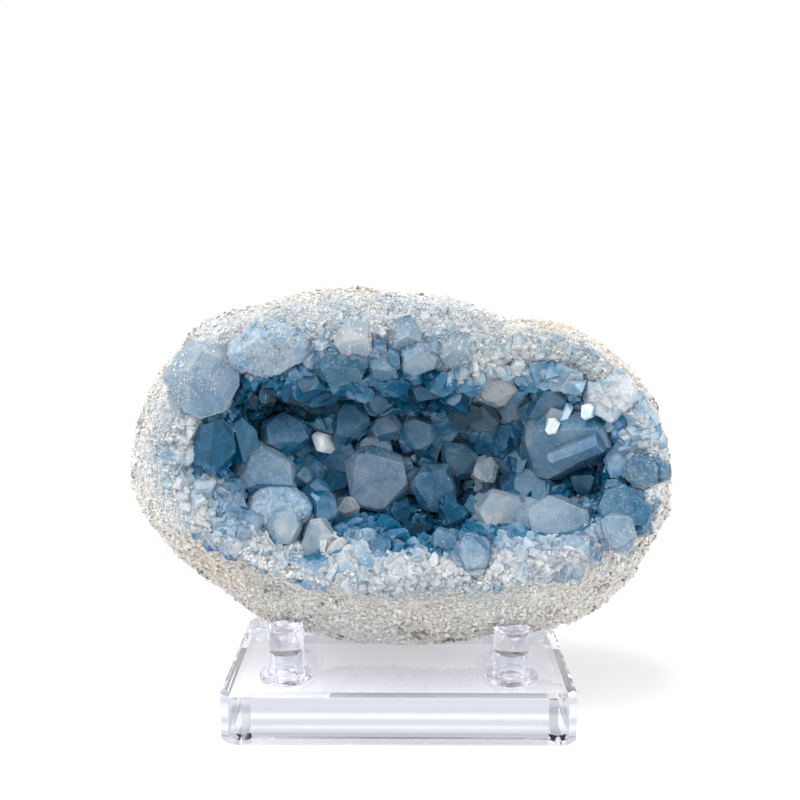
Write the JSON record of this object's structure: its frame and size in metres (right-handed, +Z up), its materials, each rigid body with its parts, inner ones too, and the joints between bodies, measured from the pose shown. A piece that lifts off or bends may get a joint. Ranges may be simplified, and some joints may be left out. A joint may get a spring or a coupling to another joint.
{
  "type": "celestite geode on a display stand",
  "caption": "Nodule broken open on one side, its hollow lined with blocky pale blue crystals, resting on the pegs of a clear bevelled stand.",
  "frame": {"origin": "bottom centre of the bounding box, on the surface that the stand's pads rest on", "axes": "+X along the nodule's longest side, -Y out of the open side of the hollow, +Z up"},
  "size_m": [0.1972, 0.0892, 0.1619],
  "materials": {
    "rind": "rough granular rind, cream and grey with dark specks, sugary white at the broken rim",
    "celestite": "translucent blue crystals, glassy to frosted, with internal clouds and cracks",
    "acrylic": "clear polished cast acrylic"
  },
  "bodies": {
    "root": {"geode_rock": "rind", "crystal_crust": "celestite", "stand_base": "acrylic", "peg_front_left": "acrylic", "peg_front_right": "acrylic", "peg_rear_left": "acrylic", "peg_rear_right": "acrylic", "pad_front_left": "acrylic", "pad_front_right": "acrylic", "pad_rear_left": "acrylic", "pad_rear_right": "acrylic"}
  },
  "joints": []
}
